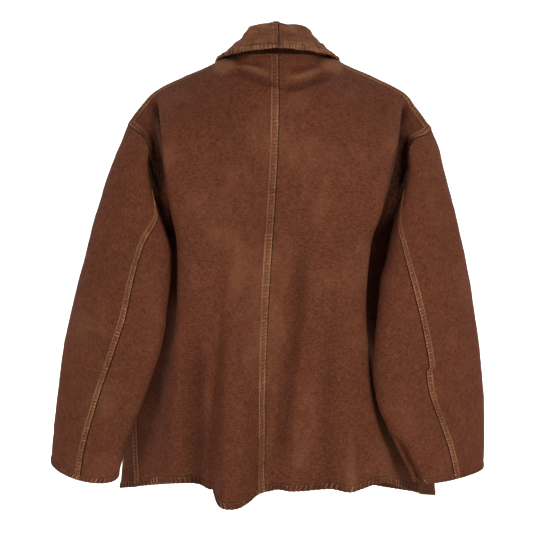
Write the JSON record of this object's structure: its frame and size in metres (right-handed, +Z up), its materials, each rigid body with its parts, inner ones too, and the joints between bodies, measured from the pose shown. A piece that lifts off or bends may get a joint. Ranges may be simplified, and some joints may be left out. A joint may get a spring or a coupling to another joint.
{
  "type": "hunting jacket",
  "caption": "Thigh-length canvas hunting jacket with a shawl collar, set-in sleeves and flat-felled seams, buttoned and filled out as if worn.",
  "frame": {"origin": "centre of the neck opening, level with the inner ends of the shoulder seams", "axes": "+Z up, -Y the buttoned front, +Y the back, +X the wearer's left"},
  "size_m": [0.7733, 0.2763, 0.8402],
  "materials": {
    "duck_canvas": "washed and faded heavy cotton duck, reddish brown",
    "button_horn": "dull dark brown"
  },
  "bodies": {
    "root": {"back_left": "duck_canvas", "back_right": "duck_canvas", "front_left": "duck_canvas", "front_right": "duck_canvas", "sleeve_upper_left": "duck_canvas", "sleeve_upper_right": "duck_canvas", "sleeve_under_left": "duck_canvas", "sleeve_under_right": "duck_canvas", "collar_left": "duck_canvas", "collar_right": "duck_canvas", "button_1": "button_horn", "button_2": "button_horn", "button_3": "button_horn", "button_4": "button_horn"}
  },
  "joints": []
}
